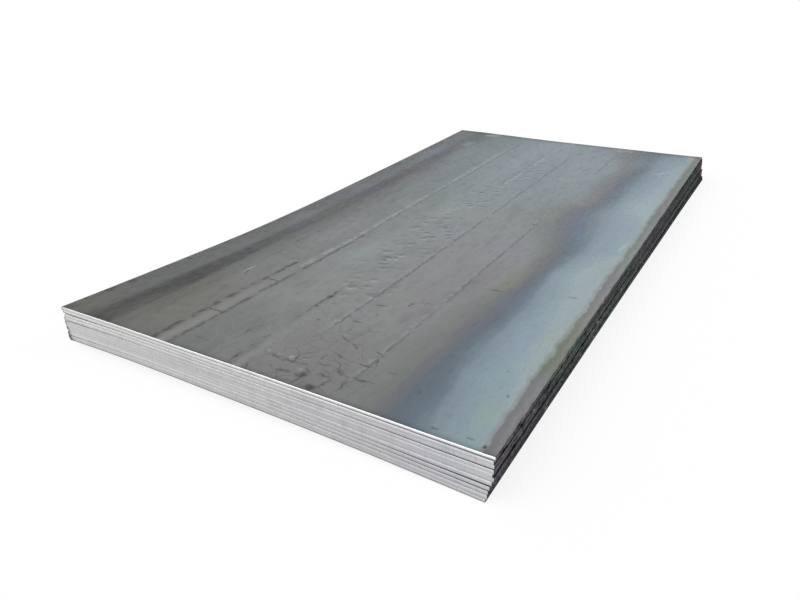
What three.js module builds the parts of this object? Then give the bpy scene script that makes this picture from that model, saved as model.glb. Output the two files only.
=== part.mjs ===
import * as THREE from 'three';
import { mergeVertices } from 'three/addons/utils/BufferGeometryUtils.js';

// A stack of hot-rolled steel plates, laid one on another with nothing between them. The plates are
// of one size but not quite flat: the stack hangs in a belly along its left-hand side, its plates
// part from each other towards the corners, and each one lies a little askew of the next.
// The length runs along Y with the near end at -Y, the width along X, and the floor is at Z = 0.

// The plates, in millimetres.
const PLATE_COUNT = 11;
const PLATE_WIDTH = 1500;
const PLATE_LENGTH = 3000;
const PLATE_THICKNESS = 10;
const WIDTH_TOLERANCE = 8;
const LENGTH_TOLERANCE = 2;

// The cut round each plate: a lip drawn down by the shear blade, the band that the blade smoothed,
// and the torn face that falls back below it.
const LIP_DROP = 0.5;
const LIP_WIDTH = 0.7;
const SMOOTH_BAND = 3.5;
const TORN_SETBACK = 0.4;

// How the plates lie askew. The twist is that of the lowest plate against the top one, and each
// plate slips and turns a little by itself.
const STACK_TWIST = THREE.MathUtils.degToRad(0.7);
const TWIST_EXPONENT = 2;
const TURN_SCATTER = THREE.MathUtils.degToRad(0.1);
const SLIP_ACROSS = 3;
const SLIP_ALONG = 1.5;
const SLIP_SEED = 45189;

// The gap between two plates: at its least the mill scale holds them apart, and shallow waves in
// the plates widen it from there.
const SCALE_GAP = 0.3;
const WAVE_GAP = 0.6;
const WAVE_LENGTH = 1100;

// The belly of the left-hand side: its distance from the near end, its depth below the plane of the
// plates, how far the two left-hand corners curl above that plane, and how far in the belly reaches.
const BELLY_STATION = 1080;
const BELLY_DEPTH = 28;
const BELLY_REACH = 750;
const BELLY_EXPONENT = 1.35;
const NEAR_CURL = 7;
const FAR_CURL = 8;

// The crown of the near end, highest at the middle of its width.
const CROWN_HEIGHT = 8;
const CROWN_REACH = 900;

// The gaps that open towards the corners, each summed over the whole height of the stack, and the
// distance over which they close.
const OPENING_NEAR_RIGHT = 12.5;
const OPENING_FAR_RIGHT = 11;
const OPENING_NEAR_LEFT = 14;
const OPENING_FAR_LEFT = 10;
const OPENING_REACH = 450;

// The opening's share in each gap, counted from the floor, on the left-hand and right-hand sides.
const LEFT_SHARES = [1, 8, 1, 1, 1, 2, 9, 1, 12, 2];
const RIGHT_SHARES = [6, 1, 7, 12, 1, 1, 1, 6, 1, 1];

// How far the weight of the stack presses its lowest spots flat on the floor.
const SETTLEMENT = 2;

// The length of one facet of a plate's surface.
const FACET_ACROSS = 125;
const FACET_ALONG = 167;

const MILL_SCALE = { color: 0x7c8183, roughness: 0.5, metalness: 0.75 };

const GOLDEN_ANGLE = Math.PI * (3 - Math.sqrt(5));

const LEFT = -PLATE_WIDTH / 2;
const RIGHT = PLATE_WIDTH / 2;
const NEAR = -PLATE_LENGTH / 2;
const FAR = PLATE_LENGTH / 2;

const CORNERS = [
  { x: LEFT, y: NEAR, opening: OPENING_NEAR_LEFT },
  { x: RIGHT, y: NEAR, opening: OPENING_NEAR_RIGHT },
  { x: LEFT, y: FAR, opening: OPENING_FAR_LEFT },
  { x: RIGHT, y: FAR, opening: OPENING_FAR_RIGHT },
];

// The rim of a plate from its underside up: how far each height stands in from the full outline.
const RIM_SECTION = [
  { height: 0, inset: TORN_SETBACK },
  { height: PLATE_THICKNESS - LIP_DROP - SMOOTH_BAND, inset: 0 },
  { height: PLATE_THICKNESS - LIP_DROP, inset: 0 },
  { height: PLATE_THICKNESS, inset: LIP_WIDTH },
];

// A smooth fall from 1 to 0 as a distance grows to a reach.
function fade(distance, reach) {
  return 1 - THREE.MathUtils.smootherstep(Math.abs(distance), 0, reach);
}

// The depth of the belly along the left-hand edge, seen as a curve from corner to corner.
function leftEdgeHeight(y) {
  const fromBelly = y - NEAR - BELLY_STATION;
  const run = fromBelly < 0 ? BELLY_STATION : PLATE_LENGTH - BELLY_STATION;
  const rise = BELLY_DEPTH + (fromBelly < 0 ? NEAR_CURL : FAR_CURL);
  return rise * Math.pow(Math.abs(fromBelly) / run, BELLY_EXPONENT) - BELLY_DEPTH;
}

// The bow that all the plates share, as a height over the plane of the top plate.
function bowHeight(x, y) {
  const belly = leftEdgeHeight(y) * fade(x - LEFT, BELLY_REACH);
  const crown = CROWN_HEIGHT * Math.cos(Math.PI * x / PLATE_WIDTH) * fade(y - NEAR, CROWN_REACH);
  return belly + crown;
}

// The sum of all the gaps that open over one spot.
function openingAt(x, y) {
  return CORNERS.reduce((sum, corner) => {
    const distance = Math.hypot(x - corner.x, y - corner.y);
    return sum + corner.opening * Math.exp(-distance / OPENING_REACH);
  }, 0);
}

// How far the waves widen one gap at one spot. The waves of each gap run their own way.
function waveGap(gap, x, y) {
  const heading = gap * GOLDEN_ANGLE;
  const travel = x * Math.cos(heading) + y * Math.sin(heading);
  return WAVE_GAP * (1 + Math.cos(2 * Math.PI * travel / WAVE_LENGTH + gap)) / 2;
}

function wavesBelow(level, x, y) {
  return Array.from({ length: level }, (_, gap) => waveGap(gap, x, y)).reduce((a, b) => a + b, 0);
}

// The part of the corners' opening which lies below a plate, counted from 0 at the floor.
function openingBelow(level, x, y) {
  const gaps = PLATE_COUNT - 1;
  const part = (shares) => {
    const share = (gap) => shares[gap % shares.length];
    const total = Array.from({ length: gaps }, (_, gap) => share(gap)).reduce((a, b) => a + b, 0);
    const below = Array.from({ length: level }, (_, gap) => share(gap)).reduce((a, b) => a + b, 0);
    return below / total;
  };
  const rightness = THREE.MathUtils.smoothstep(x, LEFT, RIGHT);
  return openingAt(x, y) * THREE.MathUtils.lerp(part(LEFT_SHARES), part(RIGHT_SHARES), rightness);
}

// The underside of the lowest plate before it meets the floor.
function hangingUnderside(x, y) {
  return bowHeight(x, y) - openingAt(x, y) - wavesBelow(PLATE_COUNT - 1, x, y);
}

// The stack comes down on its belly and on both right-hand corners.
function restingPlane() {
  const spots = [[LEFT, NEAR + BELLY_STATION], [RIGHT, NEAR], [RIGHT, FAR]];
  const points = spots.map(([x, y]) => new THREE.Vector3(x, y, hangingUnderside(x, y)));
  return new THREE.Plane().setFromCoplanarPoints(...points);
}

const floor = restingPlane();

// The height of the lowest plate's underside over the floor.
function undersideHeight(x, y) {
  const spot = new THREE.Vector3(x, y, hangingUnderside(x, y));
  return Math.max(0, floor.distanceToPoint(spot) - SETTLEMENT);
}

// Splits each facet of the underside along the same diagonal as the one above it, so that plates
// bent alike nest without touching.
function matchDiagonals(blank) {
  const underside = blank.groups[5];
  for (let i = underside.start; i < underside.start + underside.count; i += 6) {
    const [a, b, d, , c] = blank.index.array.slice(i, i + 6);
    blank.index.array.set([a, b, c, a, c, d], i);
  }
}

// A plate with the section of the cut round its rim, bent by the height that bend gives each spot.
function plateGeometry(width, length, bend) {
  const steps = RIM_SECTION.length - 1;
  const across = Math.ceil(width / FACET_ACROSS);
  const along = Math.ceil(length / FACET_ALONG);
  const blank = new THREE.BoxGeometry(width, length, steps, across, along, steps);
  matchDiagonals(blank);
  blank.deleteAttribute('normal');
  blank.deleteAttribute('uv');
  const geometry = mergeVertices(blank);
  const spots = geometry.attributes.position;
  for (let i = 0; i < spots.count; i++) {
    const rim = RIM_SECTION[Math.round(spots.getZ(i) + steps / 2)];
    const x = spots.getX(i) * (1 - 2 * rim.inset / width);
    const y = spots.getY(i) * (1 - 2 * rim.inset / length);
    spots.setXYZ(i, x, y, rim.height + bend(x, y));
  }
  geometry.computeVertexNormals();
  return geometry;
}

// A plate of the stack, counted from 0 at the floor. Where it lies askew it still follows the same
// wave as its neighbours.
function stackedPlate(level) {
  const scatter = (range) => range * (2 * THREE.MathUtils.seededRandom() - 1);
  const depth = 1 - level / (PLATE_COUNT - 1);
  const width = PLATE_WIDTH - Math.abs(scatter(WIDTH_TOLERANCE));
  const length = PLATE_LENGTH - Math.abs(scatter(LENGTH_TOLERANCE));
  const place = new THREE.Object3D();
  place.position.set(scatter(SLIP_ACROSS), scatter(SLIP_ALONG), 0);
  place.rotation.z = scatter(TURN_SCATTER) - STACK_TWIST * Math.pow(depth, TWIST_EXPONENT);
  place.updateMatrix();
  const bend = (x, y) => {
    const spot = new THREE.Vector3(x, y, 0).applyMatrix4(place.matrix);
    const gaps = openingBelow(level, spot.x, spot.y) + wavesBelow(level, spot.x, spot.y);
    return undersideHeight(spot.x, spot.y) + gaps;
  };
  const material = new THREE.MeshStandardMaterial(MILL_SCALE);
  const plate = new THREE.Mesh(plateGeometry(width, length, bend), material);
  plate.name = `plate_${String(level + 1).padStart(2, '0')}`;
  plate.position.copy(place.position).setZ(level * (PLATE_THICKNESS + SCALE_GAP));
  plate.rotation.copy(place.rotation);
  return plate;
}

// The stack stands on the floor with the middle of its outline over the origin.
function plateStack() {
  const stack = new THREE.Group();
  THREE.MathUtils.seededRandom(SLIP_SEED);
  for (let level = 0; level < PLATE_COUNT; level++) {
    stack.add(stackedPlate(level));
  }
  const outline = new THREE.Box3().setFromObject(stack);
  const middle = outline.getCenter(new THREE.Vector3());
  stack.position.set(-middle.x, -middle.y, -outline.min.z);
  return stack;
}

export default plateStack();
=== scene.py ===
"""A stack of hot-rolled steel plates, dressed over its fixed frame of eleven bent plates."""

import math

import bmesh
import bpy
from mathutils import Matrix, Vector
from mathutils.bvhtree import BVHTree


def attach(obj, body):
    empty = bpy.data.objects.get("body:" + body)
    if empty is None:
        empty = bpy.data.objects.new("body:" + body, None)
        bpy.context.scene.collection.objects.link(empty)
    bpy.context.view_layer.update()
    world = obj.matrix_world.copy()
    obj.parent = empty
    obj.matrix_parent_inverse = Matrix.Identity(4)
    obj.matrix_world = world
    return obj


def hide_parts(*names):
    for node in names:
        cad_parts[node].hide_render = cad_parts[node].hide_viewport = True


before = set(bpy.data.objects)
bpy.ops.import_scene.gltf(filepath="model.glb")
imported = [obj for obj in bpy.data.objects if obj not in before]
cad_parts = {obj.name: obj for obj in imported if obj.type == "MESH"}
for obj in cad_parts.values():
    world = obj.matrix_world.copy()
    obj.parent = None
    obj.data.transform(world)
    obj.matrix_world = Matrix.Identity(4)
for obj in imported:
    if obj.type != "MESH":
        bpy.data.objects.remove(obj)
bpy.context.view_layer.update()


# --- The rolled plates ----------------------------------------------------------------------------
# Structural steel plate, hot rolled to 10 mm. Each plate keeps the bow of its frame plate, but as a
# smooth skin without facets. Its rim stays sharp where the shear or the mill left an edge, with a
# strip rubbed bare along the top and a burr hanging from the underside.

PLATE_NAMES = sorted(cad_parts)
TOP_PLATE = PLATE_NAMES[-1]
ROLLED, CUT_END, MILL_EDGE = range(3)

# A frame plate comes as loose triangles. They are merged, and joined to quads where they bend and
# skew no more than given. An edge between faces that turn by more than FACE_TILT is a sharp one.
MERGE_DISTANCE = 0.00001
FACE_TILT = math.radians(25)
JOIN_BEND = math.radians(30)
JOIN_SKEW = math.radians(60)
FULL_CREASE = 1.0

# How far up the thickness each ring of the rim lies, from the underside to the rolled top.
UNDERSIDE, TORN_TOP, LIP_FOOT, ROLLED_TOP = 0.0, 0.6, 0.95, 1.0
THROUGH = "through_thickness"

# The rubbed strip of all plates but the top one, and the burr, which hangs as low as the plate below
# lets it. The gap to that plate is measured at a share of the way out to the rim, just inside it.
RUBBED_RIM = 0.004
BURR_WIDTH = 0.0015
BURR_HEIGHT = 0.0008
BURR_CLEARANCE = 0.00015
PROBED_SHARE = 0.98
DOWN = Vector((0, 0, -1))


def lies_flat(face):
    """Whether a face belongs to the rolled top or underside."""
    return abs(face.normal.z) > math.cos(FACE_TILT)


def cut_of(face):
    """The finish of a face in the rim: the sheared ends face along the plate."""
    return CUT_END if abs(face.normal.y) > abs(face.normal.x) else MILL_EDGE


def rolled_faces(mesh, facing):
    """The faces that the mill rolled, on top for 1 or underneath for -1."""
    return [face for face in mesh.faces if lies_flat(face) and face.normal.z * facing > 0]


def corners_of(faces):
    """The vertices of a set of faces."""
    return {vert for face in faces for vert in face.verts}


def next_ring(ring):
    """The vertices that one edge leads to from a ring."""
    return {edge.other_vert(vert) for vert in ring for edge in vert.link_edges} - ring


def cut_strip(mesh, faces, width, crease):
    """Parts a strip of one width off round a rolled face, in the finish of the cut beside it."""
    strip = bmesh.ops.inset_region(mesh, faces=faces, thickness=width, use_even_offset=True)["faces"]
    inside = {edge for face in faces for edge in face.edges}
    for face in strip:
        for edge in face.edges:
            if edge in inside:
                edge[crease] = FULL_CREASE
            face.material_index = next((cut_of(other) for other in edge.link_faces
                                        if not lies_flat(other)), face.material_index)


def hang_burr(mesh, rim, below):
    """Draws the rim of an underside down towards the plate below, by the gap just inside it."""
    plate = BVHTree.FromBMesh(mesh)
    for vert in rim:
        spot = vert.co * PROBED_SHARE
        underside = plate.ray_cast(spot + DOWN, -DOWN)[0]
        ground = below.ray_cast(spot - DOWN, DOWN)[0]
        gap = underside.z - ground.z
        vert.co += DOWN * min(BURR_HEIGHT, max(0, gap - BURR_CLEARANCE))


def plate_mesh(name, below):
    """A frame plate with quads for facets, sharp rims and the height in its rim as an attribute."""
    mesh = bmesh.new()
    mesh.from_mesh(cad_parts[name].data)
    bmesh.ops.remove_doubles(mesh, verts=mesh.verts, dist=MERGE_DISTANCE)
    bmesh.ops.join_triangles(mesh, faces=mesh.faces, angle_face_threshold=JOIN_BEND,
                             angle_shape_threshold=JOIN_SKEW)
    through = mesh.verts.layers.float.new(THROUGH)
    crease = mesh.edges.layers.float.new("crease_edge")
    for face in mesh.faces:
        face.smooth = True
        face.material_index = ROLLED if lies_flat(face) else cut_of(face)
    for edge in mesh.edges:
        edge.smooth = edge.calc_face_angle(0) < FACE_TILT
        edge[crease] = 0 if edge.smooth else FULL_CREASE
    if name != TOP_PLATE:
        cut_strip(mesh, rolled_faces(mesh, 1), RUBBED_RIM, crease)
    if below:
        cut_strip(mesh, rolled_faces(mesh, -1), BURR_WIDTH, crease)
    top = corners_of(rolled_faces(mesh, 1))
    underside = corners_of(rolled_faces(mesh, -1))
    rings = ((underside, UNDERSIDE), (next_ring(underside), TORN_TOP), (next_ring(top), LIP_FOOT),
             (top, ROLLED_TOP))
    for ring, height in rings:
        for vert in ring:
            vert[through] = height
    if below:
        hang_burr(mesh, underside & next_ring(next_ring(underside)), below)
    return mesh


# --- Mill scale on the rolled faces ---------------------------------------------------------------
# The blue-grey oxide skin that grows on steel as it is rolled hot and left to cool. It is semi-matt,
# and shows marks drawn lengthwise by the rolls, cracks and flakes where the skin broke, and heat
# tints where it thins towards the sides of the plate.

# How a Mix node lays one colour over another, or shades one by another.
LAID_OVER = {"output": 2, "data_type": "RGBA"}
SHADING = {"output": 2, "data_type": "RGBA", "blend_type": "MULTIPLY"}

# How many octaves a noise has, from a smooth one to the most broken one.
SMOOTH, SOFT, RAGGED, FINE, FINEST = 1.0, 2.0, 3.0, 4.0, 5.0


def hex_colour(code):
    """The linear colour of an sRGB hex code."""
    channels = [int(code[i:i + 2], 16) / 255 for i in (1, 3, 5)]
    return [c / 12.92 if c <= 0.04045 else ((c + 0.055) / 1.055) ** 2.4 for c in channels] + [1]


def set_inputs(node, inputs):
    """Sets or links a node's inputs, each named, or numbered where several share a name."""
    for key, value in inputs.items():
        if isinstance(value, bpy.types.NodeSocket):
            node.id_data.links.new(value, node.inputs[key])
        else:
            node.inputs[key].default_value = value


def add_node(tree, kind, inputs, output=0, **settings):
    """Adds a shader node with its settings and inputs, and returns one of its outputs."""
    node = tree.nodes.new("ShaderNode" + kind)
    for name, value in settings.items():
        setattr(node, name, value)
    set_inputs(node, inputs)
    return node.outputs[output]


def new_finish(name):
    """A material, with its shader tree, its surface and the coordinates that its patterns read."""
    material = bpy.data.materials.new(name)
    material.use_nodes = True
    tree = material.node_tree
    place = add_node(tree, "TexCoord", {}, output="Object")
    return material, tree, tree.nodes["Principled BSDF"], place


def across_and_along(tree, place):
    """How far a spot lies across the plate and along it, from the middle, in metres."""
    x = add_node(tree, "SeparateXYZ", {0: place}, output="X")
    return x, x.node.outputs["Y"]


def tints_along(tree, distance, stations, interpolation="EASE"):
    """The tint, or the number, that a list of stations gives along a distance or a pattern."""
    first, last = stations[0][0], stations[-1][0]
    share = add_node(tree, "MapRange", {0: distance, 1: first, 2: last})
    result = add_node(tree, "ValToRGB", {0: share})
    ramp = result.node.color_ramp
    ramp.interpolation = interpolation
    ramp.elements.remove(ramp.elements[1])
    for station, value in stations:
        position = (station - first) / (last - first)
        element = ramp.elements[0] if station == first else ramp.elements.new(position)
        element.position = position
        element.color = hex_colour(value) if isinstance(value, str) else (value, value, value, 1)
    return result


def shaded(tree, colour, distance, shades):
    """A colour darkened by the shades that lie along a distance, or along a pattern."""
    shade = tints_along(tree, distance, shades)
    return add_node(tree, "Mix", {0: 1.0, 6: colour, 7: shade}, **SHADING)


def clouded(tree, colour, pattern, size, octaves, shades):
    """A colour darkened in clouds of one size."""
    clouds = add_node(tree, "TexNoise", {"Vector": pattern, "Scale": 1 / size, "Detail": octaves})
    return shaded(tree, colour, clouds, shades)


def speckles(tree, pattern, size, octaves, start, full):
    """Speckles of one size: 0 where a noise is at their start, and 1 where it is at their full."""
    noise = add_node(tree, "TexNoise", {"Vector": pattern, "Scale": 1 / size, "Detail": octaves})
    return add_node(tree, "MapRange", {0: noise, 1: start, 2: full})


def wander(tree, pattern, size, octaves, reach):
    """A distance that wanders from minus a reach to plus that reach, in waves of one size."""
    shift = add_node(tree, "TexNoise", {"Vector": pattern, "Scale": 1 / size, "Detail": octaves})
    return add_node(tree, "MapRange", {0: shift, 3: -reach, 4: reach})


def strayed(tree, place, pattern, size, octaves, reach):
    """A place shifted by up to half of a reach to every side, so that what is drawn is ragged."""
    shift = add_node(tree, "TexNoise", {"Vector": pattern, "Scale": 1 / size, "Detail": octaves},
                     output=1)
    shift = add_node(tree, "VectorMath", {0: shift, 1: reach, 2: -Vector(reach) / 2},
                     operation="MULTIPLY_ADD")
    return add_node(tree, "VectorMath", {0: place, 1: shift}, operation="ADD")


# A patch reaches through the whole plate.
THROUGH_REACH = 100


def patch(tree, place, centre, half_size, turn=0.0):
    """A soft oval patch of the skin, full at its centre and gone at its half size."""
    local = add_node(tree, "Mapping", {"Vector": place, "Location": (*centre, 0),
                                       "Rotation": (0, 0, math.radians(turn)),
                                       "Scale": (*half_size, THROUGH_REACH)},
                     vector_type="TEXTURE")
    near = add_node(tree, "TexGradient", {"Vector": local}, output="Fac",
                    gradient_type="SPHERICAL")
    return add_node(tree, "MapRange", {0: near}, interpolation_type="SMOOTHSTEP")


# The rolling draws every pattern of the skin out lengthwise.
DRAWN_OUT = (1.0, 0.35, 1.0)

# The bare scale from the near end to the far end: partly its own colour, and partly a painted
# reflection of the sky that makes it lighter and bluer towards the far end. Where the skin is a
# little thicker or thinner it takes a teal or a violet cast, in clouds.
SCALE_AND_SHEEN_ALONG = [(-1.5, "#787877"), (-1.3, "#7D7E7D"), (-1.0, "#858787"), (-0.2, "#85898B"),
               (0.4, "#828B8F"), (0.9, "#828E93"), (1.5, "#7C8A91")]
CASTS = [(0.30, "#EDF4F2"), (0.42, "#F8FCFA"), (0.55, "#FFFFFF"), (0.70, "#F8F3F9")]
CLOUD_SIZE = 0.25


def bare_scale_and_sheen(tree, place, drawn):
    """The blue-grey of the plain skin, with a painted reflection of the sky along it."""
    colour = tints_along(tree, across_and_along(tree, place)[1], SCALE_AND_SHEEN_ALONG)
    return clouded(tree, colour, drawn, CLOUD_SIZE, FINE, CASTS)


# The scale is thicker and darker towards the left-hand side: its shades over the bare scale, by how
# far across they lie. Their borders stray a little from side to side.
LEFT_SHADES = [(-0.75, "#B6B6B4"), (-0.70, "#B8B8B8"), (-0.66, "#BEBEBE"), (-0.62, "#A8A8AA"),
               (-0.57, "#A4A4A4"), (-0.545, "#B7B7B6"), (-0.50, "#CACAC8"), (-0.44, "#DBDBD9"),
               (-0.36, "#E0E0DE"), (-0.25, "#F0F0F0"), (-0.12, "#FFFFFF")]
BORDER_WAVE = 0.111
BORDER_STRAY = 0.006


def wandering_across(tree, place, drawn):
    """How far across the plate a spot lies, for what strays a little from a straight line."""
    shift = wander(tree, drawn, BORDER_WAVE, RAGGED, BORDER_STRAY)
    return add_node(tree, "Math", {0: across_and_along(tree, place)[0], 1: shift}, operation="ADD")


def darker_side(tree, place, drawn, colour):
    """The darker left-hand side of the skin."""
    return shaded(tree, colour, wandering_across(tree, place, drawn), LEFT_SHADES)


# The shades of the oil and water that were wiped over the skin, and the turn and the breadth of the
# strokes.
WIPED_SHADES = [(0.32, "#EEEFEE"), (0.44, "#FBFBFB"), (0.52, "#FFFFFF"), (0.62, "#F6F6F7"),
                (0.72, "#ECECEE")]
WIPED_TURN = math.radians(24)
STROKE_BREADTH = 0.0714


def wiped_over(tree, place, colour):
    """Faint diagonal strokes."""
    strokes = add_node(tree, "Mapping", {"Vector": place, "Rotation": (0, 0, WIPED_TURN),
                                         "Scale": DRAWN_OUT})
    return clouded(tree, colour, strokes, STROKE_BREADTH, FINE, WIPED_SHADES)


# The dark band beside the left-hand rim, where the scale is thickest: where it starts across the
# plate, how broad it is along the plate, how it fades at both sides and its tint along the plate.
DARK_START = -0.642
DARK_BREADTH = [(-1.5, 0.135), (-1.2, 0.138), (-0.9, 0.105), (-0.6, 0.086), (-0.2, 0.078),
                (1.5, 0.074)]
DARK_FADE = 0.28
DARK_STRENGTH = 0.97
DARK_TINTS = [(-1.5, "#3B3B38"), (-1.3, "#2F2F2D"), (-1.15, "#272727"), (-0.95, "#373736"),
              (-0.8, "#343A3E"), (-0.6, "#454546"), (-0.4, "#4C4C58"), (-0.28, "#525252"),
              (-0.1, "#4B534F"), (0.15, "#464658"), (0.35, "#4B494B"), (0.65, "#525252"),
              (0.9, "#454E58"), (1.15, "#595958"), (1.3, "#50575D"), (1.5, "#4B5054")]

# How far the sides of that band and of the heat tint stray, and over what length.
FRINGE_WAVE = 0.0714
DARK_STRAY = 0.018
TINT_STRAY = 0.03


def dark_band(tree, place, drawn, colour):
    """The dark band along the left-hand side."""
    x, y = across_and_along(tree, place)
    shift = wander(tree, drawn, FRINGE_WAVE, FINEST, DARK_STRAY)
    reach = add_node(tree, "Math", {0: x, 1: shift}, operation="ADD")
    reach = add_node(tree, "Math", {0: reach, 1: DARK_START}, operation="SUBTRACT")
    reach = add_node(tree, "Math", {0: reach, 1: tints_along(tree, y, DARK_BREADTH)},
                     operation="DIVIDE")
    fades = [add_node(tree, "MapRange", {0: reach, 1: start, 2: full, 4: DARK_STRENGTH},
                      interpolation_type="SMOOTHSTEP")
             for start, full in ((0.0, DARK_FADE), (1.0, 1 - DARK_FADE))]
    share = add_node(tree, "Math", {0: fades[0], 1: fades[1]}, operation="MINIMUM")
    tint = tints_along(tree, y, DARK_TINTS)
    return add_node(tree, "Mix", {0: share, 6: colour, 7: tint}, **LAID_OVER)


# The heat tint of the right-hand side. Its dark fringe and its light band wander along the plate:
# both lists give how far across they lie at stations along the length.
TINT_FRINGE = [(-1.5, 0.485), (-1.25, 0.47), (-1.0, 0.470), (-0.75, 0.486), (-0.4, 0.5),
               (-0.15, 0.49), (0.0, 0.455), (0.15, 0.43), (0.27, 0.437), (0.36, 0.468),
               (0.75, 0.48), (1.05, 0.49), (1.3, 0.465), (1.5, 0.475)]
TINT_BAND = [(-1.5, 0.58), (-1.25, 0.55), (-1.0, 0.543), (-0.75, 0.55), (-0.4, 0.543),
             (-0.15, 0.575), (0.15, 0.54), (0.4, 0.53), (0.75, 0.55), (1.1, 0.55), (1.3, 0.555),
             (1.5, 0.62)]

# The tints from the bare scale over the fringe, at 0, to the light band, at 1, and on to the rim.
# On the same measure, where they start to cover the bare scale and where they cover it fully. Last,
# their shades along the plate.
TINTS = [(-2.4, "#878A8B"), (-1.5, "#7C807F"), (-0.9, "#777B7A"), (-0.45, "#6E7176"),
         (0.0, "#636E78"), (0.35, "#67747F"), (0.7, "#71818C"), (1.05, "#82929C"),
         (1.5, "#8A9BA5"), (2.1, "#91A3AA"), (2.8, "#9DACB0")]
TINT_START = -2.4
TINT_FULL = -1.3
TINT_ALONG = [(-1.5, "#F6F6F6"), (0.3, "#F7F8FA"), (0.8, "#E7EBF2"), (1.5, "#DDE2E9")]


def heat_tint(tree, place, drawn, colour):
    """The blue band of thin oxide, behind its dark fringe."""
    x, y = across_and_along(tree, place)
    fringe = tints_along(tree, y, TINT_FRINGE, "CARDINAL")
    band = tints_along(tree, y, TINT_BAND, "CARDINAL")
    shift = wander(tree, drawn, FRINGE_WAVE, FINEST, TINT_STRAY)
    reach = add_node(tree, "Math", {0: x, 1: shift}, operation="ADD")
    reach = add_node(tree, "Math", {0: reach, 1: fringe}, operation="SUBTRACT")
    breadth = add_node(tree, "Math", {0: band, 1: fringe}, operation="SUBTRACT")
    reach = add_node(tree, "Math", {0: reach, 1: breadth}, operation="DIVIDE")
    tint = shaded(tree, tints_along(tree, reach, TINTS), y, TINT_ALONG)
    share = add_node(tree, "MapRange", {0: reach, 1: TINT_START, 2: TINT_FULL})
    return add_node(tree, "Mix", {0: share, 6: colour, 7: tint}, **LAID_OVER)


# The right-hand margin, where the tint ends in a pale straw line and a grey border: its tints across
# the plate, where it starts and is full, how it strays and its shades along the plate. Last, the
# shades of the two rims that the shear bruised.
MARGIN = [(0.696, "#97A5A9"), (0.708, "#99A4A1"), (0.717, "#7D8482"), (0.725, "#808685"),
          (0.736, "#8A908F"), (0.743, "#868A89"), (0.75, "#5F6261")]
MARGIN_START = 0.696
MARGIN_FULL = 0.706
MARGIN_WAVE = 0.0625
MARGIN_STRAY = 0.016
MARGIN_ALONG = [(-1.5, "#ECE4EC"), (-1.2, "#F0E8EE"), (-1.08, "#E0E2D4"), (-0.9, "#E6E6D8"),
                (-0.7, "#F8F2F0"), (-0.45, "#EEE6EC"), (-0.2, "#F0F4F2"), (0.1, "#ECEEEE"),
                (0.3, "#DCDFDE"), (0.55, "#E4DADC"), (0.9, "#D4D9D8"), (1.2, "#D2D3D2"),
                (1.38, "#D8D0CE"), (1.5, "#D6CECC")]
CUT_RIMS = [(-1.5, "#C8C8C6"), (-1.490, "#ECECEA"), (-1.478, "#FFFFFF"), (1.42, "#FFFFFF"),
            (1.47, "#E4E0DC"), (1.5, "#BEBAB8")]


def margin_and_rims(tree, place, colour):
    """The border of the right-hand side, and the shades of both sheared rims."""
    x, y = across_and_along(tree, place)
    shift = wander(tree, place, MARGIN_WAVE, RAGGED, MARGIN_STRAY)
    border = add_node(tree, "Math", {0: x, 1: shift}, operation="ADD")
    share = add_node(tree, "MapRange", {0: border, 1: MARGIN_START, 2: MARGIN_FULL})
    tint = shaded(tree, tints_along(tree, border, MARGIN), y, MARGIN_ALONG)
    colour = add_node(tree, "Mix", {0: share, 6: colour, 7: tint}, **LAID_OVER)
    return shaded(tree, colour, y, CUT_RIMS)


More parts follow.
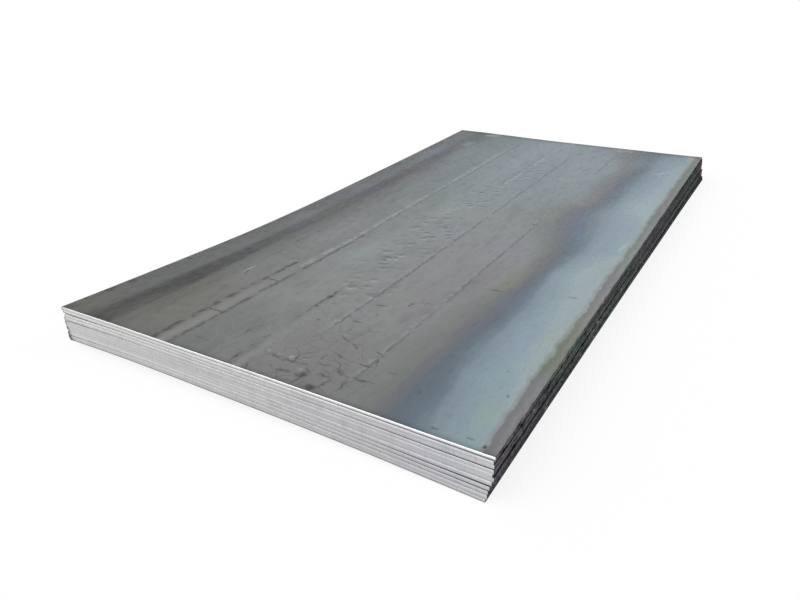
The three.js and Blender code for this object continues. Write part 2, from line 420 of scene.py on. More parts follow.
# Patches of another tint: where each lies, its half size, its turn in degrees, its tint and how
# strong it is. Their rims stray over the given length and reach.
TINTED_PATCHES = [
    ((-0.42, -1.28), (0.21, 0.38), 0, "#6B6B63", 0.75),
    ((-0.49, -1.20), (0.08, 0.30), 0, "#4C4C46", 0.5),
    ((-0.69, -1.10), (0.08, 0.45), 0, "#58585A", 0.75),
    ((-0.50, 0.95), (0.11, 0.40), 0, "#989FA5", 0.2),
    ((-0.70, -1.44), (0.10, 0.22), 0, "#5C5E54", 0.8),
    ((-0.555, 1.20), (0.05, 0.12), 0, "#8A9090", 0.5),
    ((-0.51, 1.45), (0.08, 0.06), 0, "#8E9295", 0.8),
    ((-0.66, 0.90), (0.07, 0.25), 0, "#77748A", 0.35),
    ((-0.67, -0.35), (0.06, 0.16), 0, "#74727A", 0.4),
    ((-0.67, 0.17), (0.06, 0.16), 0, "#76747E", 0.4),
    ((-0.52, 0.40), (0.07, 0.16), 0, "#6E6A66", 0.5),
    ((-0.33, 0.0), (0.10, 0.10), 0, "#8B8A90", 0.3),
    ((-0.40, -0.45), (0.12, 0.25), 0, "#88858A", 0.4),
    ((-0.17, -0.62), (0.06, 0.22), -18, "#869896", 0.5),
    ((-0.08, -0.02), (0.07, 0.16), 0, "#8B9B98", 0.5),
    ((-0.16, -0.35), (0.06, 0.16), 0, "#86898C", 0.4),
    ((0.03, -0.25), (0.07, 0.22), 0, "#8A919A", 0.4),
    ((0.41, -0.62), (0.06, 0.26), 0, "#82856F", 0.35),
    ((0.38, -1.0), (0.05, 0.10), 0, "#7E816F", 0.3),
    ((0.37, -1.35), (0.03, 0.04), 0, "#83826F", 0.4),
    ((0.45, 0.06), (0.06, 0.22), 12, "#666C85", 0.5),
    ((0.50, -0.12), (0.04, 0.16), 12, "#5F7690", 0.6),
    ((0.47, -0.42), (0.04, 0.14), 0, "#6F6B74", 0.6),
    ((0.46, -0.78), (0.04, 0.14), 0, "#666C7C", 0.3),
    ((0.51, -1.32), (0.06, 0.14), 0, "#5F6E78", 0.5),
    ((0.61, -0.95), (0.05, 0.18), 0, "#8C9BAE", 0.5),
    ((0.68, -0.92), (0.03, 0.16), 0, "#9BA99D", 0.6),
    ((0.61, -1.20), (0.08, 0.12), 0, "#84A0A6", 0.4),
    ((0.67, -1.41), (0.03, 0.09), 0, "#91A598", 0.6),
    ((0.685, -0.10), (0.02, 0.12), 0, "#A8BAAE", 0.7),
    ((0.67, -0.32), (0.03, 0.10), 0, "#93A39F", 0.5),
    ((0.34, 0.13), (0.05, 0.16), 0, "#808A7C", 0.4),
    ((0.47, 1.20), (0.07, 0.25), 0, "#66828A", 0.6),
    ((0.62, 1.06), (0.02, 0.07), -35, "#A8BAC8", 0.6),
    ((0.64, 0.72), (0.05, 0.16), 0, "#93A6B2", 0.4),
    ((0.43, 1.42), (0.05, 0.04), 0, "#72777A", 0.4),
    ((0.44, 1.31), (0.06, 0.17), 0, "#56696C", 0.7),
    ((0.36, 1.45), (0.04, 0.04), 0, "#8F969C", 0.5),
    ((0.30, 1.45), (0.08, 0.05), 0, "#979D9E", 0.6),
    ((0.69, 1.42), (0.035, 0.10), 0, "#A39C9A", 0.6),
    ((0.0, 1.43), (0.07, 0.06), 0, "#86A29C", 0.4),
    ((-0.12, 0.10), (0.08, 0.20), 0, "#87958F", 0.3),
]
PATCH_WAVE = 0.091
PATCH_STRAY = (0.12, 0.24, 0.0)

# Dark chips along the left-hand rim: their size, from where to where across the plate they thicken,
# the values of the noise between which a chip darkens, its shade and how strong that is.
CHIP_SIZE = 0.0385
CHIPPED_FROM, CHIPPED_FULLY = -0.695, -0.728
CHIP_START, CHIP_FULL = 0.50, 0.57
CHIP = "#484947"
CHIP_STRENGTH = 0.75


def patches_and_chips(tree, place, drawn, colour):
    """What the cooling and the handling left in single places."""
    place_in_patch = strayed(tree, place, drawn, PATCH_WAVE, FINE, PATCH_STRAY)
    for centre, half_size, turn, tint, strength in TINTED_PATCHES:
        near = patch(tree, place_in_patch, centre, half_size, turn)
        share = add_node(tree, "Math", {0: near, 1: strength}, operation="MULTIPLY")
        colour = add_node(tree, "Mix", {0: share, 6: colour, 7: hex_colour(tint)}, **LAID_OVER)
    chips = speckles(tree, drawn, CHIP_SIZE, FINE, CHIP_START, CHIP_FULL)
    rim = add_node(tree, "MapRange", {0: wandering_across(tree, place, drawn),
                                      1: CHIPPED_FROM, 2: CHIPPED_FULLY, 4: CHIP_STRENGTH})
    share = add_node(tree, "Math", {0: chips, 1: rim}, operation="MULTIPLY")
    return add_node(tree, "Mix", {0: share, 6: colour, 7: hex_colour(CHIP)}, **LAID_OVER)


# Lines that the rolls drew: how far across, half the width, where along they begin and end, their
# shade over the scale, and how much of them is broken away.
ROLL_MARKS = [
    (-0.302, 0.040, -1.6, -1.0, "#7D7D7A", 0.30),
    (-0.297, 0.018, -0.85, 1.1, "#8E9195", 0.47),
    (-0.272, 0.012, -1.6, -0.4, "#505354", 0.40),
    (-0.276, 0.012, -0.4, 1.6, "#666B6D", 0.42),
    (-0.338, 0.014, -1.6, -0.75, "#434442", 0.44),
    (-0.045, 0.009, -1.10, -0.92, "#414343", 0.40),
    (-0.045, 0.008, -1.6, -1.0, "#5E6060", 0.50),
    (-0.016, 0.024, -1.6, -1.0, "#818382", 0.40),
    (-0.055, 0.010, 0.45, 1.3, "#6A7476", 0.48),
    (-0.035, 0.011, 0.45, 1.3, "#97A2A5", 0.50),
    (0.090, 0.008, -1.2, 1.15, "#64696B", 0.42),
    (0.076, 0.010, -1.2, 1.15, "#888D8F", 0.50),
    (0.294, 0.011, -1.4, 0.3, "#868A8C", 0.46),
    (0.306, 0.008, -1.4, 0.0, "#676B6D", 0.42),
    (0.310, 0.014, 0.9, 1.6, "#6C777F", 0.40),
    (-0.480, 0.010, -0.75, -0.4, "#5E5F60", 0.50),
]

# Half the length over which a mark begins and ends, and its depth, where that of a crack is up to 1.
MARK_FADE = 0.06
MARK_DEPTH = 0.4

# The lengths over which the marks are whole or broken, how sharply they break, and how far and how
# finely their sides fray.
BREAK_LENGTH = 0.0294
BREAK_START, BREAK_FULL = 0.05, 0.08
FRAY_SIZE = 0.0222
FRAY_REACH = 0.012


def roll_marks(tree, place, drawn, colour):
    """The skin with the marks of the rolls on it, and how deep they are."""
    y = across_and_along(tree, place)[1]
    gaps = add_node(tree, "TexNoise", {"Vector": place, "Scale": 1 / BREAK_LENGTH, "Detail": FINE})
    fray = wander(tree, place, FRAY_SIZE, RAGGED, FRAY_REACH)
    across = add_node(tree, "Math", {0: wandering_across(tree, place, drawn), 1: fray},
                      operation="ADD")
    depth = 0.0
    for centre, half_width, start, end, shade, broken in ROLL_MARKS:
        off = add_node(tree, "Math", {0: across, 1: centre}, operation="SUBTRACT")
        off = add_node(tree, "Math", {0: off}, operation="ABSOLUTE")
        mark = add_node(tree, "MapRange", {0: off, 1: half_width, 2: 0.0},
                        interpolation_type="SMOOTHSTEP")
        begins = add_node(tree, "MapRange", {0: y, 1: start - MARK_FADE, 2: start + MARK_FADE})
        ends = add_node(tree, "MapRange", {0: y, 1: end + MARK_FADE, 2: end - MARK_FADE})
        whole = add_node(tree, "MapRange", {0: gaps, 1: broken - BREAK_START,
                                            2: broken + BREAK_FULL})
        for share in (whole, begins, ends):
            mark = add_node(tree, "Math", {0: mark, 1: share}, operation="MULTIPLY")
        colour = add_node(tree, "Mix", {0: mark, 6: colour, 7: hex_colour(shade)}, **LAID_OVER)
        mark = add_node(tree, "Math", {0: mark, 1: MARK_DEPTH}, operation="MULTIPLY")
        depth = add_node(tree, "Math", {0: depth, 1: mark}, operation="MAXIMUM")
    return colour, depth


# Spots of another shade: where each lies, its half size, its turn in degrees and its shade.
SPOTS = [
    ((-0.455, -0.940), (0.010, 0.050), 0, "#9B9C9A"),
    ((0.650, -0.630), (0.028, 0.010), 0, "#74879A"),
    ((0.480, -1.360), (0.010, 0.008), 0, "#4E5A66"),
    ((0.580, -1.475), (0.018, 0.010), 0, "#5C6A6E"),
    ((0.480, 0.080), (0.010, 0.012), 0, "#4F5A76"),
    ((0.640, -1.155), (0.010, 0.008), 0, "#6F8A92"),
    ((0.682, -1.262), (0.006, 0.008), 0, "#6F7E80"),
    ((0.672, -1.465), (0.014, 0.006), -20, "#5F6E68"),
    # These light spots are painted highlights on the rims of the cracks just beside them.
    ((0.012, -1.388), (0.009, 0.008), 0, "#929390"),
    ((0.052, -1.386), (0.014, 0.006), 20, "#979896"),
    ((0.090, -1.383), (0.008, 0.009), 0, "#9A9B98"),
    ((0.123, -1.377), (0.016, 0.006), 15, "#939492"),
    ((0.150, -1.425), (0.022, 0.008), 0, "#888987"),
]

# Scars across the skin: where each lies, its half size, its turn in degrees and how dark it is.
SCARS = [
    ((-0.302, -0.990), (0.050, 0.007), 4, 0.95),
    ((-0.300, -1.270), (0.055, 0.006), -3, 0.95),
    ((-0.345, -0.865), (0.024, 0.006), 0, 0.9),
    ((-0.350, -0.790), (0.012, 0.006), 0, 0.9),
    ((-0.375, -0.785), (0.016, 0.006), 40, 0.8),
    ((-0.440, -0.975), (0.008, 0.030), 20, 0.85),
    ((-0.485, -0.620), (0.012, 0.030), 20, 0.8),
    ((-0.700, -1.060), (0.030, 0.006), 0, 0.8),
    ((0.020, -0.905), (0.035, 0.006), 18, 0.75),
    ((0.135, -1.120), (0.026, 0.007), 0, 0.8),
    ((0.140, -0.985), (0.028, 0.007), 25, 0.7),
    ((0.218, -0.935), (0.007, 0.024), 12, 0.85),
    ((0.250, -0.905), (0.040, 0.005), 22, 0.5),
    ((0.415, -0.700), (0.045, 0.006), 6, 0.75),
    ((0.330, -1.390), (0.030, 0.005), 8, 0.75),
    ((0.712, -1.475), (0.010, 0.012), 0, 1.0),
    ((0.295, -0.020), (0.010, 0.016), 0, 0.7),
    ((-0.110, 0.140), (0.015, 0.018), 0, 0.5),
    ((-0.240, 0.165), (0.008, 0.012), 0, 0.55),
    ((-0.120, 1.215), (0.010, 0.020), 0, 0.5),
    ((-0.002, -1.047), (0.010, 0.007), -45, 0.95),
    ((-0.040, -1.092), (0.020, 0.006), -15, 0.8),
    ((-0.040, -1.015), (0.012, 0.016), 0, 0.95),
    ((0.127, -1.040), (0.008, 0.006), 0, 0.7),
    ((0.165, -1.052), (0.008, 0.006), 0, 0.7),
    ((0.020, -1.166), (0.012, 0.006), 15, 0.7),
    ((-0.729, -1.238), (0.028, 0.030), 0, 1.0),
    ((-0.734, -1.330), (0.030, 0.028), 0, 1.0),
    ((-0.738, -1.420), (0.014, 0.016), 0, 1.0),
    ((-0.732, -1.080), (0.024, 0.012), -20, 0.95),
    ((-0.728, -0.972), (0.024, 0.012), -25, 0.95),
    ((-0.735, -0.880), (0.014, 0.014), 0, 0.9),
    ((-0.735, -0.770), (0.016, 0.012), 0, 0.9),
    ((-0.735, -0.650), (0.014, 0.014), 0, 0.8),
    ((0.175, -1.445), (0.022, 0.024), 0, 0.9),
    ((0.228, -1.483), (0.024, 0.018), 0, 0.95),
]

# Cracks long enough to stand out: from where to where each runs, and half its width. They taper, so
# each is drawn a little longer than its run.
CRACKS = [
    ((0.160, -1.303), (0.250, -1.325), 0.006), ((0.250, -1.325), (0.332, -1.320), 0.005),
    ((0.355, -1.325), (0.396, -1.314), 0.005), ((0.165, -1.315), (0.168, -1.370), 0.005),
    ((0.168, -1.376), (0.225, -1.371), 0.007), ((0.232, -1.372), (0.272, -1.397), 0.007),
    ((0.268, -1.390), (0.372, -1.385), 0.005), ((0.028, -1.400), (0.075, -1.406), 0.010),
    ((0.070, -1.408), (0.130, -1.402), 0.009), ((0.128, -1.390), (0.160, -1.402), 0.007),
    ((0.160, -1.405), (0.190, -1.435), 0.009), ((0.200, -1.421), (0.252, -1.414), 0.008),
    ((0.252, -1.412), (0.246, -1.480), 0.006), ((0.088, -1.461), (0.145, -1.445), 0.010),
    ((0.145, -1.445), (0.182, -1.456), 0.006), ((0.178, -1.440), (0.174, -1.498), 0.007),
    ((0.140, -1.214), (0.186, -1.236), 0.008), ((0.186, -1.236), (0.236, -1.259), 0.006),
    ((0.273, -1.240), (0.312, -1.256), 0.007), ((0.300, -1.258), (0.322, -1.312), 0.005),
    ((0.293, -1.395), (0.298, -1.462), 0.005), ((-0.052, -1.425), (-0.044, -1.475), 0.009),
    ((0.000, -1.462), (0.026, -1.496), 0.008), ((-0.120, -1.300), (-0.116, -1.360), 0.007),
    ((-0.245, -1.425), (-0.170, -1.432), 0.005), ((-0.430, -1.385), (-0.415, -1.350), 0.006),
]
CRACK_STRENGTH = 0.62
CRACK_TAPER = 0.6

# The shade of scars and cracks, and over what length and how far their rims stray.
SCAR_SHADE = "#343536"
SCAR_WAVE = 0.0167
SCAR_STRAY = (0.026, 0.026, 0.0)


def strongest(tree, place, patches, anywhere=0.0):
    """How strong the strongest of some patches is at a spot, or at least what there is anywhere."""
    most = anywhere
    for *where, strength in patches:
        near = add_node(tree, "Math", {0: patch(tree, place, *where), 1: strength},
                        operation="MULTIPLY")
        most = add_node(tree, "Math", {0: most, 1: near}, operation="MAXIMUM")
    return most


def crack_as_scar(start, end, half_width):
    """The scar that a crack makes from one spot to another."""
    run = Vector(end) - Vector(start)
    turn = math.degrees(math.atan2(run.y, run.x))
    half_size = (CRACK_TAPER * run.length, half_width)
    return (Vector(start) + Vector(end)) / 2, half_size, turn, CRACK_STRENGTH


def spots_and_scars(tree, place, colour):
    """The skin with its spots, scars and long cracks, and how deep they are."""
    place_in_scar = strayed(tree, place, place, SCAR_WAVE, RAGGED, SCAR_STRAY)
    for centre, half_size, turn, shade in SPOTS:
        spot = patch(tree, place_in_scar, centre, half_size, turn)
        colour = add_node(tree, "Mix", {0: spot, 6: colour, 7: hex_colour(shade)}, **LAID_OVER)
    scars = SCARS + [crack_as_scar(*crack) for crack in CRACKS]
    depth = strongest(tree, place_in_scar, scars)
    colour = add_node(tree, "Mix", {0: depth, 6: colour, 7: hex_colour(SCAR_SHADE)}, **LAID_OVER)
    return colour, depth


# Where the skin is crazed into small cells: the middle of each area, its half size and how strong
# the crazing is there, and how strong it is anywhere else.
CRAZED = [((0.17, -1.41), (0.24, 0.17), 1.0), ((0.12, -1.20), (0.30, 0.36), 0.5),
          ((-0.10, -1.35), (0.20, 0.25), 0.4), ((-0.42, -1.35), (0.20, 0.25), 0.3),
          ((0.0, -0.35), (0.22, 0.35), 0.5), ((0.0, 0.0), (0.5, 1.6), 0.25)]
CRAZED_ANYWHERE = 0.06

# The breadth of a cell and of the crack beside it, drawn wider than the hairline that it is, and how
# far and how finely the cracks stray. They close over stretches of the given length.
CELL = 0.048
CRACK_WIDTH = 0.0036
CELL_WAVE = 0.0333
CELL_STRAY = (0.030, 0.030, 0.0)
CLOSED_LENGTH = 0.0769
CLOSED_UNDER, OPEN_OVER = 0.44, 0.56
CRACK = "#4B4D4E"


def crazing(tree, place):
    """The lines between the cells that the skin cracked into as it cooled."""
    place_in_cell = strayed(tree, place, place, CELL_WAVE, RAGGED, CELL_STRAY)
    cells = add_node(tree, "TexVoronoi", {"Vector": place_in_cell, "Scale": 1 / CELL},
                     feature="DISTANCE_TO_EDGE", voronoi_dimensions="2D")
    line = add_node(tree, "MapRange", {0: cells, 1: CRACK_WIDTH / CELL, 2: 0.0})
    open_share = speckles(tree, place, CLOSED_LENGTH, SOFT, CLOSED_UNDER, OPEN_OVER)
    return add_node(tree, "Math", {0: line, 1: open_share}, operation="MULTIPLY")


def crazed(tree, place, colour):
    """The skin with its crazing, and how deep that is."""
    share = strongest(tree, place, CRAZED, CRAZED_ANYWHERE)
    depth = add_node(tree, "Math", {0: crazing(tree, place), 1: share}, operation="MULTIPLY")
    return add_node(tree, "Mix", {0: depth, 6: colour, 7: hex_colour(CRACK)}, **LAID_OVER), depth


# Where the skin has lifted in flakes, as above, and how strong that is where every flake shows.
FLAKED = [((-0.05, -0.25), (0.16, 0.30), 1.0), ((-0.04, -0.60), (0.14, 0.35), 0.7),
          ((0.01, -0.90), (0.16, 0.18), 0.65), ((-0.04, 0.25), (0.13, 0.45), 0.75),
          ((0.0, 0.80), (0.11, 0.50), 0.75), ((-0.30, 0.85), (0.05, 0.50), 0.6)]
FLAKED_FULL = 0.6

# The flakes are long across the plate, some way apart, and only a share of them lifted. Those that
# lifted the most reach the farthest from their middle, in shares of the spacing.
FLAKE_SPACING = 0.040
FLAKE_TURN = math.radians(24)
FLAKE_STRETCH = 1.9
FLAKED_SHARE = 0.8
FLAKE_REACH = 0.5
FLAKE_GROWTH = 0.5
FLAKE_WAVE = 0.0143
FLAKE_STRAY = (0.02, 0.02, 0.0)

# A flake is dark where it lifted, partly as its own scale and partly as painted shadow, by how far a
# spot lies within it, and carries a painted highlight beside its near rim.
FLAKE_SHADE = "#53575A"
FLAKE_STRENGTH = [(0.0, 0.0), (0.35, 0.24), (0.7, 0.48), (1.0, 0.56)]
GLINT_SHIFT = (0.010, -0.019)
GLINT = "#A9B0B2"
GLINT_SHARE = 0.45
FLAKE_LIFT = 1.1


def flaking(tree, place):
    """The lifted flakes: 1 at the middle of a flake, and 0 at its rim."""
    place_in_flake = strayed(tree, place, place, FLAKE_WAVE, SOFT, FLAKE_STRAY)
    stretched = add_node(tree, "Mapping", {"Vector": place_in_flake,
                                           "Rotation": (0, 0, FLAKE_TURN),
                                           "Scale": (FLAKE_STRETCH, 1.0, 1.0)},
                         vector_type="TEXTURE")
    off = add_node(tree, "TexVoronoi", {"Vector": stretched, "Scale": 1 / FLAKE_SPACING},
                   voronoi_dimensions="2D")
    lot = add_node(tree, "SeparateXYZ", {0: off.node.outputs["Color"]})
    reach = add_node(tree, "MapRange", {0: lot, 1: 1 - FLAKED_SHARE, 2: 1.0})
    reach = add_node(tree, "Math", {0: reach, 1: FLAKE_GROWTH}, operation="POWER")
    reach = add_node(tree, "Math", {0: reach, 1: FLAKE_REACH}, operation="MULTIPLY")
    return add_node(tree, "MapRange", {0: off, 1: reach, 2: 0.0},
                    interpolation_type="SMOOTHSTEP")


def flaked(tree, place, colour):
    """The skin with its flakes, their painted shadow and highlight, and how far they stand up."""
    flakes = flaking(tree, place)
    share = add_node(tree, "MapRange", {0: strongest(tree, place, FLAKED), 2: FLAKED_FULL})
    # A painted highlight beside the near rim of each flake.
    beside = add_node(tree, "VectorMath", {0: place, 1: (*GLINT_SHIFT, 0.0)},
                      operation="SUBTRACT")
    glint = add_node(tree, "Math", {0: flaking(tree, beside), 1: flakes}, operation="SUBTRACT",
                     use_clamp=True)
    glint = add_node(tree, "Math", {0: glint, 1: share}, operation="MULTIPLY")
    glint = add_node(tree, "Math", {0: glint, 1: GLINT_SHARE}, operation="MULTIPLY")
    colour = add_node(tree, "Mix", {0: glint, 6: colour, 7: hex_colour(GLINT)}, **LAID_OVER)
    dark = add_node(tree, "Math", {0: tints_along(tree, flakes, FLAKE_STRENGTH), 1: share},
                    operation="MULTIPLY")
    colour = add_node(tree, "Mix", {0: dark, 6: colour, 7: hex_colour(FLAKE_SHADE)}, **LAID_OVER)
    lift = add_node(tree, "Math", {0: flakes, 1: share}, operation="MULTIPLY")
    return colour, add_node(tree, "Math", {0: lift, 1: FLAKE_LIFT}, operation="MULTIPLY")


# The mottle over the whole skin, and its pits. Real pits are a tenth of a millimetre across, and are
# drawn some fifty times as coarse so that they show.
MOTTLE_SIZE = 0.0143
MOTTLE = [(0.3, "#F4F4F4"), (0.5, "#FFFFFF"), (0.7, "#FAFAFA")]
PIT_SIZE = 0.0056
PIT_STRENGTH = 0.3
SCALE_RELIEF = 0.0005

# The relief of the cracks, marks and flakes, over that of the pits.
SKIN_STRENGTH = 0.7
SKIN_RELIEF = 0.0020

# The roughness follows the mottle, whose values lie mostly between its low and its high.
MOTTLE_LOW, MOTTLE_HIGH = 0.3, 0.7
SMOOTHEST, ROUGHEST = 0.40, 0.56
SCALE_METALLIC = 0.75


def heat_tinted_scale():
    """Steel under its hot-rolled mill scale: a semi-matt, blue-grey skin with heat tints."""
    material, tree, surface, place = new_finish("heat_tinted_mill_scale")
    drawn = add_node(tree, "Mapping", {"Vector": place, "Scale": DRAWN_OUT})
    colour = bare_scale_and_sheen(tree, place, drawn)
    colour = darker_side(tree, place, drawn, colour)
    colour = wiped_over(tree, place, colour)
    colour = dark_band(tree, place, drawn, colour)
    colour = heat_tint(tree, place, drawn, colour)
    colour = margin_and_rims(tree, place, colour)
    colour = patches_and_chips(tree, place, drawn, colour)
    colour, marked = roll_marks(tree, place, drawn, colour)
    colour, scarred = spots_and_scars(tree, place, colour)
    colour, cracked = crazed(tree, place, colour)
    colour, lifted = flaked(tree, place, colour)
    mottle = add_node(tree, "TexNoise", {"Vector": drawn, "Scale": 1 / MOTTLE_SIZE,
                                         "Detail": FINE})
    colour = shaded(tree, colour, mottle, MOTTLE)

    # Cracks and marks lie a little below the skin, flakes a little above it, over its fine pits.
    depth = add_node(tree, "Math", {0: marked, 1: scarred}, operation="MAXIMUM")
    depth = add_node(tree, "Math", {0: depth, 1: cracked}, operation="MAXIMUM")
    height = add_node(tree, "Math", {0: lifted, 1: depth}, operation="SUBTRACT")
    pits = add_node(tree, "TexNoise", {"Vector": place, "Scale": 1 / PIT_SIZE, "Detail": FINE})
    relief = add_node(tree, "Bump", {"Height": pits, "Strength": PIT_STRENGTH,
                                     "Distance": SCALE_RELIEF})
    relief = add_node(tree, "Bump", {"Height": height, "Strength": SKIN_STRENGTH,
                                     "Distance": SKIN_RELIEF, "Normal": relief})
    roughness = add_node(tree, "MapRange", {0: mottle, 1: MOTTLE_LOW, 2: MOTTLE_HIGH,
                                            3: SMOOTHEST, 4: ROUGHEST})
    set_inputs(surface, {"Base Color": colour, "Roughness": roughness, "Normal": relief,
                         "Metallic": SCALE_METALLIC})
    return material


# The rolled faces inside the stack and its underside show the same skin more plainly: clouds,
# streaks drawn by the rolls, faint crazing and a rougher mottle.
PLAIN_CASTS = [(0.3, "#757D7E"), (0.45, "#7B8286"), (0.55, "#7E8385"), (0.7, "#85858A")]
PLAIN_SHADES = [(-0.75, "#CFCFCD"), (-0.64, "#D4D4D4"), (-0.60, "#ADADB0"), (-0.53, "#D9D8D6"),
                (-0.3, "#FFFFFF"), (0.45, "#FFFFFF"), (0.52, "#C9D0DA"), (0.6, "#FFFFFF"),
                (0.725, "#F4F6F6"), (0.738, "#8A8A8C"), (0.748, "#38383A")]
STREAKS = [(0.3, "#EFEFEF"), (0.5, "#FFFFFF"), (0.7, "#F4F4F4")]
PLAIN_CLOUD_SIZE = 0.20
PLAIN_DRAWN_OUT = (1.0, 0.2, 6.0)
STREAK_BREADTH = 0.0167
STREAK_DRAWN_OUT = (1.0, 0.02, 6.0)
PLAIN_CRAZING = 0.35
PLAIN_MOTTLE_SIZE = 0.0125
PLAIN_STRENGTH = 0.5
PLAIN_SMOOTHEST, PLAIN_ROUGHEST = 0.42, 0.60


def plain_scale():
    """Steel under the same mill scale without heat tints: a slightly duller, even grey."""
    material, tree, surface, place = new_finish("plain_mill_scale")
    drawn = add_node(tree, "Mapping", {"Vector": place, "Scale": PLAIN_DRAWN_OUT})
    clouds = add_node(tree, "TexNoise", {"Vector": drawn, "Scale": 1 / PLAIN_CLOUD_SIZE,
                                         "Detail": FINEST})
    colour = tints_along(tree, clouds, PLAIN_CASTS)
    streaks = add_node(tree, "Mapping", {"Vector": place, "Scale": STREAK_DRAWN_OUT})
    colour = shaded(tree, colour, across_and_along(tree, place)[0], PLAIN_SHADES)
    colour = clouded(tree, colour, streaks, STREAK_BREADTH, RAGGED, STREAKS)
    cracks = add_node(tree, "Math", {0: crazing(tree, place), 1: PLAIN_CRAZING},
                      operation="MULTIPLY")
    colour = add_node(tree, "Mix", {0: cracks, 6: colour, 7: hex_colour(CRACK)}, **LAID_OVER)
    mottle = add_node(tree, "TexNoise", {"Vector": place, "Scale": 1 / PLAIN_MOTTLE_SIZE,
                                         "Detail": FINE})
    height = add_node(tree, "Math", {0: mottle, 1: cracks}, operation="SUBTRACT")
    relief = add_node(tree, "Bump", {"Height": height, "Strength": PLAIN_STRENGTH,
                                     "Distance": SCALE_RELIEF})
    roughness = add_node(tree, "MapRange", {0: mottle, 1: MOTTLE_LOW, 2: MOTTLE_HIGH,
                                            3: PLAIN_SMOOTHEST, 4: PLAIN_ROUGHEST})
    set_inputs(surface, {"Base Color": colour, "Roughness": roughness, "Normal": relief,
                         "Metallic": SCALE_METALLIC})
    return material


# --- The sheared ends -----------------------------------------------------------------------------
# Both short ends are cut cold by a guillotine shear. The blade burnishes the upper part of each cut
# bright, and the steel tears off duller below it. Where cuts are pressed tight they run into one
# plain face.
# The colour of the cuts also holds painted highlights and painted shade, plate by plate.

BARE_STEEL = "#D0D0D0"
SHEAR_METALLIC = 0.8

# How far up the thickness the tear starts, how far and over what length it strays, and half of the
# height over which it fades. The lip above fades in at once.
TEAR_HEIGHT = 0.45
TEAR_STRAY = 0.12
TEAR_WAVE = 0.0222
TEAR_FADE = 0.06
LIP_FADE = 0.01
TORN_ROUGHNESS, BURNISHED_ROUGHNESS = 0.55, 0.35

# The blade scores the cut from top to bottom. The real scores lie closer, and are drawn 4 mm apart
# so that they show.
SCORE_SPACING = 0.004
SCORE_DRAWN_OUT = (1.0, 1.0, 0.06)
SCORE_SHADES = [(0.3, "#F2F2F2"), (0.5, "#FFFFFF"), (0.7, "#F8F8F8")]
SCORE_STRENGTH = 0.4
SCORE_RELIEF = 0.0003
SMEAR_SIZE = 0.0714
SMEARS = [(0.3, "#F4F4F5"), (0.5, "#FFFFFF"), (0.7, "#F8F7F8")]

# The painted reflection of the sky in the bright cut, from the left-hand side to the right-hand
# side, darker at the very left-hand end.
PAINTED_SKY_REFLECTION = [(-0.753, "#8C8C8C"), (-0.742, "#FFFFFE"), (-0.1, "#F6F6F6"), (0.4, "#F2F2F5"),
            (0.62, "#F3F4F9"), (0.75, "#FBFDFF")]

# How bright the lip, the smooth band and the torn band of each plate are at its left-hand end, its
# middle and its right-hand end, from the floor up: partly the steel's own tone and partly painted
# light and shade, with painted highlights on some lips and bands. The cut of the top plate is the
# brightest, as a painted highlight, and painted shadow darkens its torn band towards the right-hand
# end and the torn band of the bottom plate along the floor.
CUT_TONES_AND_PAINTED_LIGHT = [((0.80, 0.62, 0.62), (0.98, 0.98, 0.98), (0.50, 0.50, 0.56)),
             ((0.80, 0.62, 0.62), (0.96, 0.98, 0.98), (0.92, 0.96, 0.90)),
             ((1.10, 0.62, 0.62), (1.16, 0.98, 0.98), (0.92, 0.96, 0.92)),
             ((0.78, 0.60, 0.62), (0.98, 0.97, 0.98), (0.98, 0.97, 0.90)),
             ((0.78, 0.60, 0.85), (0.98, 0.97, 1.02), (0.98, 0.97, 0.96)),
             ((0.78, 0.60, 0.62), (0.98, 0.97, 0.97), (0.98, 0.97, 0.96)),
             ((0.78, 0.62, 0.70), (0.98, 0.98, 0.99), (0.98, 0.97, 0.96)),
             ((0.95, 0.74, 0.80), (1.06, 0.99, 1.02), (0.92, 0.97, 0.98)),
             ((1.10, 0.95, 0.85), (1.20, 1.10, 1.04), (0.94, 0.96, 0.96)),
             ((1.20, 1.10, 0.80), (1.30, 1.20, 1.05), (0.84, 0.92, 0.98)),
             ((1.25, 1.45, 1.60), (1.20, 1.35, 1.60), (0.90, 0.75, 0.45))]
LIP_TONE, SMOOTH_TONE, TORN_TONE = "lip_tone", "smooth_tone", "torn_tone"


def tone_and_light_the_cut(mesh, tones):
    """Gives a plate the brightness of its cut, its own tone with painted light and shade, as
    attributes that change across its width.
    """
    reach = max(vert.co.x for vert in mesh.verts)
    for name, (left, middle, right) in zip((LIP_TONE, SMOOTH_TONE, TORN_TONE), tones):
        tone = mesh.verts.layers.float.new(name)
        for vert in mesh.verts:
            end = left if vert.co.x < 0 else right
            vert[tone] = middle + (end - middle) * abs(vert.co.x) / reach


def up_the_rim(tree):
    """How far up the thickness a spot of the rim lies, and how far it belongs to the lip."""
    through = add_node(tree, "Attribute", {}, output="Fac", attribute_name=THROUGH)
    lip = add_node(tree, "MapRange", {0: through, 1: LIP_FOOT, 2: LIP_FOOT + LIP_FADE})
    return through, lip


